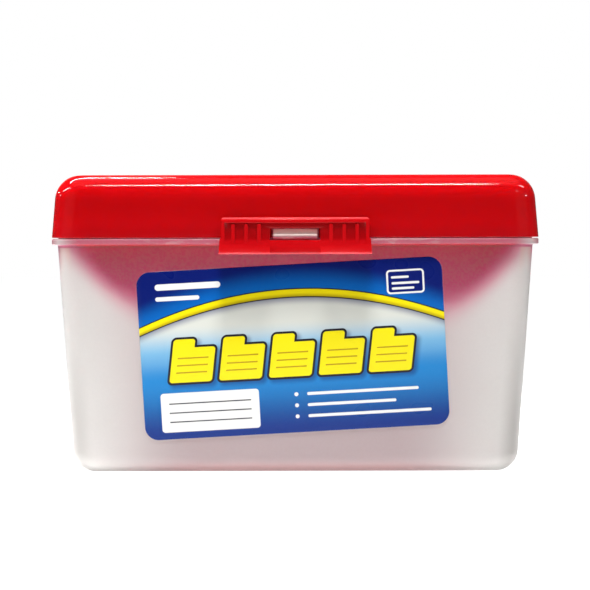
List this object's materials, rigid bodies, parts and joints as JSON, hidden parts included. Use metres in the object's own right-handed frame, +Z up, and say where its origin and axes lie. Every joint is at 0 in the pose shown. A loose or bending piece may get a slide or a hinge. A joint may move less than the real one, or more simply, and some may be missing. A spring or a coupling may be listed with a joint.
{
  "type": "index card box",
  "caption": "Desktop box for 76 x 127 mm index cards: tapered frosted tray, hinged glossy red lid with a snap latch at the front, and a printed label.",
  "frame": {"origin": "centre of the overall outline on the surface that the box stands on, lid closed", "axes": "+X across the box to the right as its front is seen, -Y out of the front, +Z up"},
  "size_m": [0.1488, 0.1082, 0.091],
  "materials": {
    "frosted_plastic": "frosted, translucent",
    "red_plastic": "gloss",
    "printed_label": "coated print"
  },
  "bodies": {
    "tray": {"tray": "frosted_plastic", "front_label": "printed_label"},
    "lid": {"lid": "red_plastic"},
    "latch": {"latch": "red_plastic"}
  },
  "joints": [
    {"name": "lid_hinge", "type": "hinge", "parent": "tray", "child": "lid", "pos_m": [0, 0.05028, 0.07165], "axis": [-1, 0, 0], "range_deg": [0, 110]},
    {"name": "latch_hinge", "type": "hinge", "parent": "lid", "child": "latch", "pos_m": [0, -0.05132, 0.0767], "axis": [-1, 0, 0], "range_deg": [0, 75]}
  ]
}
